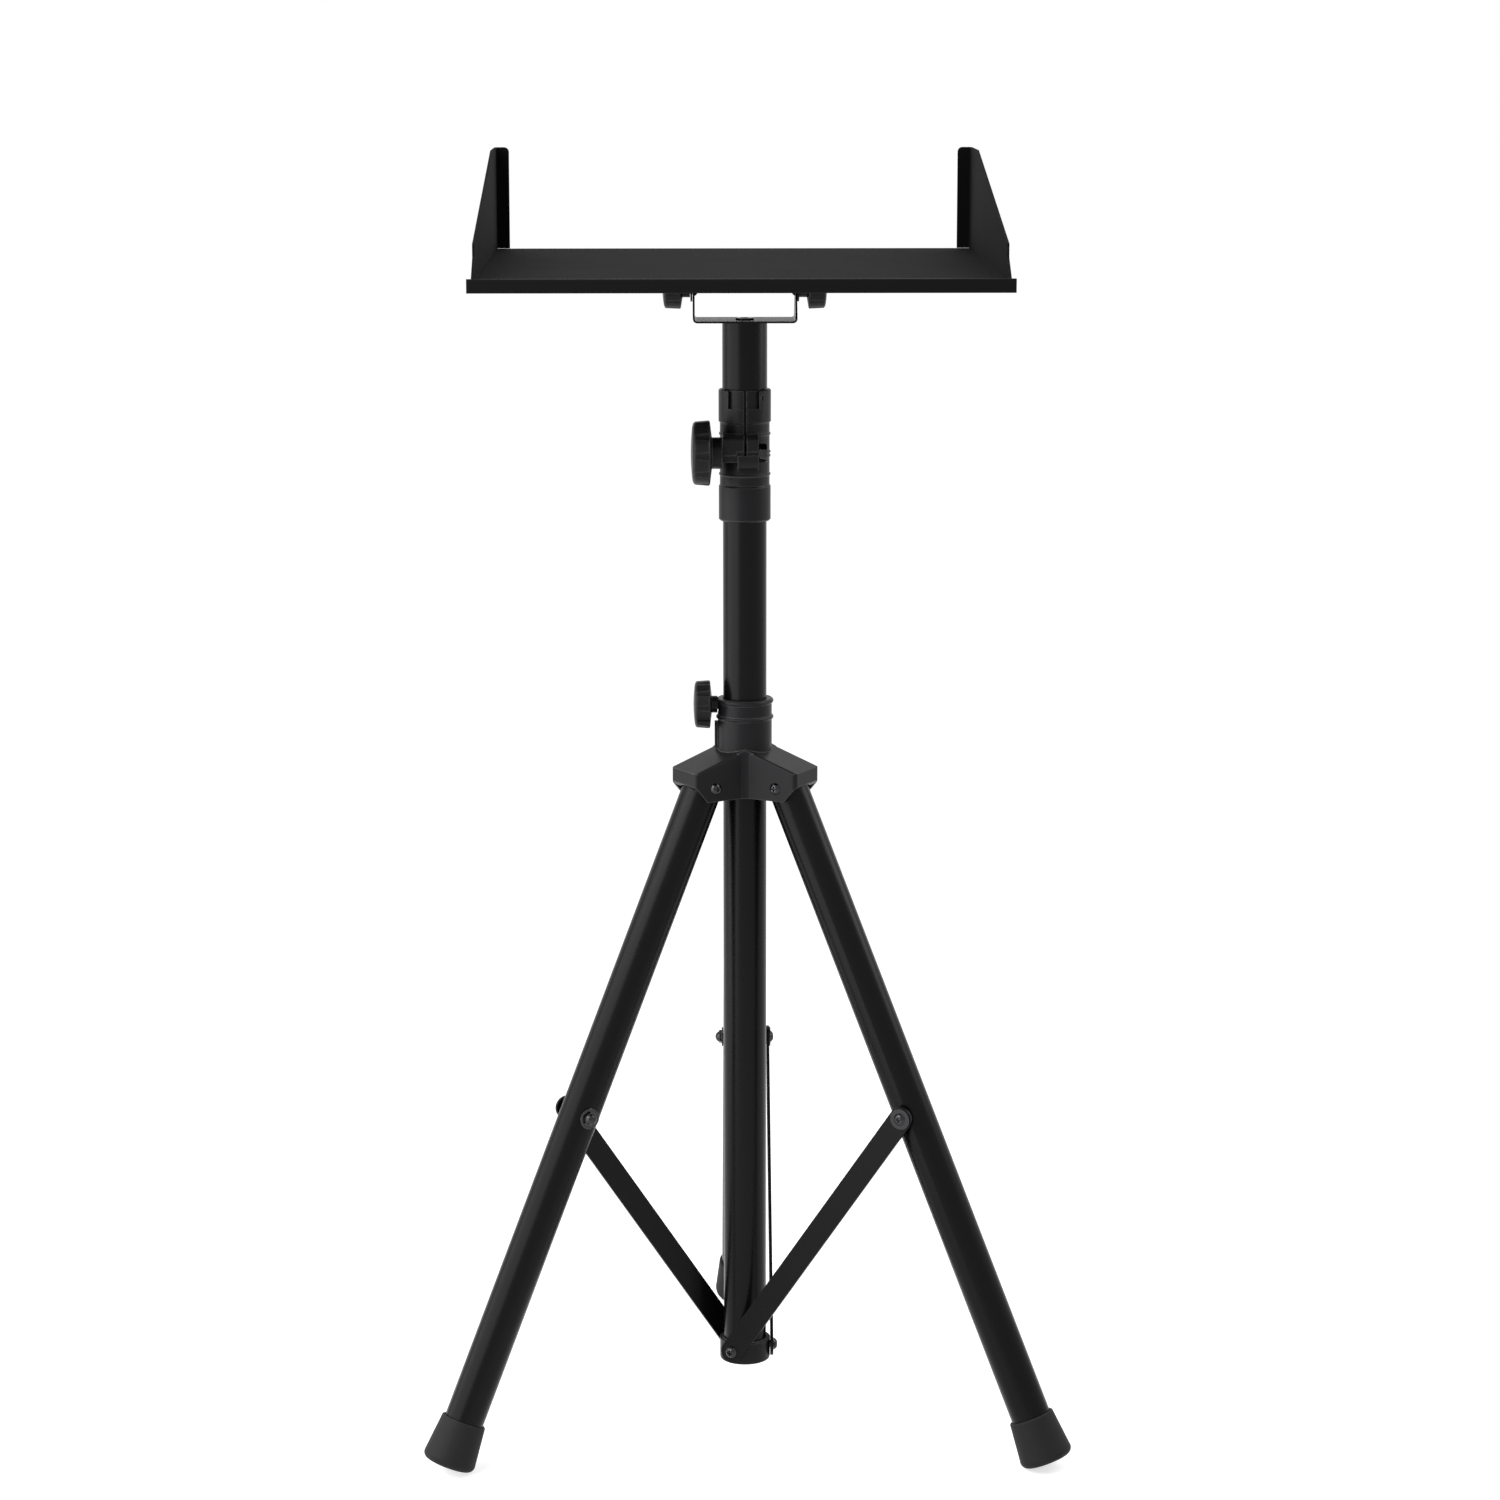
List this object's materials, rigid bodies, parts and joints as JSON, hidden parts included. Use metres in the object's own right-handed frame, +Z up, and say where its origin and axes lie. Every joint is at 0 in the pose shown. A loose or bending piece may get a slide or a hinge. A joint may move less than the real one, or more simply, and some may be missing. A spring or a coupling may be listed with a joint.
{
  "type": "tripod platform stand",
  "caption": "Folding tripod stand with braced tubular legs, a clamped telescopic column and a tilting square tray with raised sides.",
  "frame": {"origin": "middle of the bounding box's base, on the floor; the column axis is 45.5 mm in front of it (Y = -0.0455)", "axes": "+Z up along the column, +Y towards the rear leg, -Y towards the tray's front edge strip, +X to the right seen from the front"},
  "size_m": [0.5188, 0.501, 1.038],
  "materials": {
    "black_steel": "black powder coat, semi-gloss",
    "black_plastic": "moulded, satin",
    "black_rubber": "matt",
    "dark_bolts": "blackened, polished by handling"
  },
  "bodies": {
    "hub": {"hub": "black_plastic", "hub_pin_rear": "dark_bolts", "hub_pin_left": "dark_bolts", "hub_pin_right": "dark_bolts"},
    "hub_knob": {"hub_knob": "black_plastic"},
    "mast": {"mast_tube": "black_steel", "mast_cap": "black_plastic", "cap_pin_rear": "dark_bolts", "cap_pin_left": "dark_bolts", "cap_pin_right": "dark_bolts", "clamp_collar": "black_plastic", "clamp_bolt": "dark_bolts"},
    "clamp_knob": {"clamp_knob": "black_plastic"},
    "pole": {"inner_pole": "black_steel"},
    "head": {"socket_tube": "black_steel", "tilt_fork": "black_steel", "fork_bolt": "dark_bolts", "tilt_bolt_left": "dark_bolts", "tilt_bolt_right": "dark_bolts"},
    "tray": {"tray_plate": "black_steel", "front_strip": "black_plastic", "wing_left": "black_steel", "wing_right": "black_steel", "tray_bracket": "black_steel", "tray_bolts": "dark_bolts"},
    "tilt_knob_left": {"tilt_knob_left": "black_plastic"},
    "tilt_knob_right": {"tilt_knob_right": "black_plastic"},
    "leg_rear": {"leg_rear": "black_steel", "foot_rear": "black_rubber", "brace_bolt_rear": "dark_bolts"},
    "brace_rear": {"brace_bar_rear": "black_steel", "brace_screw_rear": "dark_bolts"},
    "leg_left": {"leg_left": "black_steel", "foot_left": "black_rubber", "brace_bolt_left": "dark_bolts"},
    "brace_left": {"brace_bar_left": "black_steel", "brace_screw_left": "dark_bolts"},
    "leg_right": {"leg_right": "black_steel", "foot_right": "black_rubber", "brace_bolt_right": "dark_bolts"},
    "brace_right": {"brace_bar_right": "black_steel", "brace_screw_right": "dark_bolts"}
  },
  "joints": [
    {"name": "mast_slide", "type": "slide", "parent": "hub", "child": "mast", "axis": [0, 0, 1], "range_m": [-0.069, 0]},
    {"name": "hub_knob_turn", "type": "hinge", "parent": "hub", "child": "hub_knob", "pos_m": [-0.03, -0.04551, 0.6001], "axis": [-1, 0, 0], "continuous": true},
    {"name": "clamp_knob_turn", "type": "hinge", "parent": "mast", "child": "clamp_knob", "pos_m": [-0.03, -0.07251, 0.8068], "axis": [-1, 0, 0], "continuous": true},
    {"name": "pole_slide", "type": "slide", "parent": "mast", "child": "pole", "axis": [0, 0, 1], "range_m": [0, 0.35]},
    {"name": "head_swivel", "type": "hinge", "parent": "pole", "child": "head", "pos_m": [0, -0.04551, 0.88], "axis": [0, 0, 1], "continuous": true},
    {"name": "tray_tilt", "type": "hinge", "parent": "head", "child": "tray", "pos_m": [0, -0.04551, 0.9331], "axis": [1, 0, 0], "range_deg": [-30, 30]},
    {"name": "tilt_knob_left_turn", "type": "hinge", "parent": "head", "child": "tilt_knob_left", "pos_m": [-0.055, -0.04551, 0.9331], "axis": [-1, 0, 0], "continuous": true},
    {"name": "tilt_knob_right_turn", "type": "hinge", "parent": "head", "child": "tilt_knob_right", "pos_m": [0.055, -0.04551, 0.9331], "axis": [1, 0, 0], "continuous": true},
    {"name": "leg_rear_fold", "type": "hinge", "parent": "hub", "child": "leg_rear", "pos_m": [0, -0.00681, 0.5375], "axis": [-1, 0, 0], "range_deg": [0, 22.3]},
    {"name": "brace_rear_fold", "type": "hinge", "parent": "mast", "child": "brace_rear", "pos_m": [0, -0.04551, 0.057], "axis": [-1, 0, 0], "range_deg": [-24.5, 0]},
    {"name": "leg_left_fold", "type": "hinge", "parent": "hub", "child": "leg_left", "pos_m": [-0.03352, -0.06486, 0.5375], "axis": [0.5, -0.866, 0], "range_deg": [0, 22.3]},
    {"name": "brace_left_fold", "type": "hinge", "parent": "mast", "child": "brace_left", "pos_m": [0, -0.04551, 0.057], "axis": [0.5, -0.866, 0], "range_deg": [-24.5, 0]},
    {"name": "leg_right_fold", "type": "hinge", "parent": "hub", "child": "leg_right", "pos_m": [0.03352, -0.06486, 0.5375], "axis": [0.5, 0.866, 0], "range_deg": [0, 22.3]},
    {"name": "brace_right_fold", "type": "hinge", "parent": "mast", "child": "brace_right", "pos_m": [0, -0.04551, 0.057], "axis": [0.5, 0.866, 0], "range_deg": [-24.5, 0]}
  ],
  "couplings": [
    {"joint": "leg_rear_fold", "follows": "mast_slide", "rad_per_m": -5.6387},
    {"joint": "brace_rear_fold", "follows": "mast_slide", "rad_per_m": 6.1924},
    {"joint": "leg_left_fold", "follows": "mast_slide", "rad_per_m": -5.6387},
    {"joint": "brace_left_fold", "follows": "mast_slide", "rad_per_m": 6.1924},
    {"joint": "leg_right_fold", "follows": "mast_slide", "rad_per_m": -5.6387},
    {"joint": "brace_right_fold", "follows": "mast_slide", "rad_per_m": 6.1924}
  ]
}
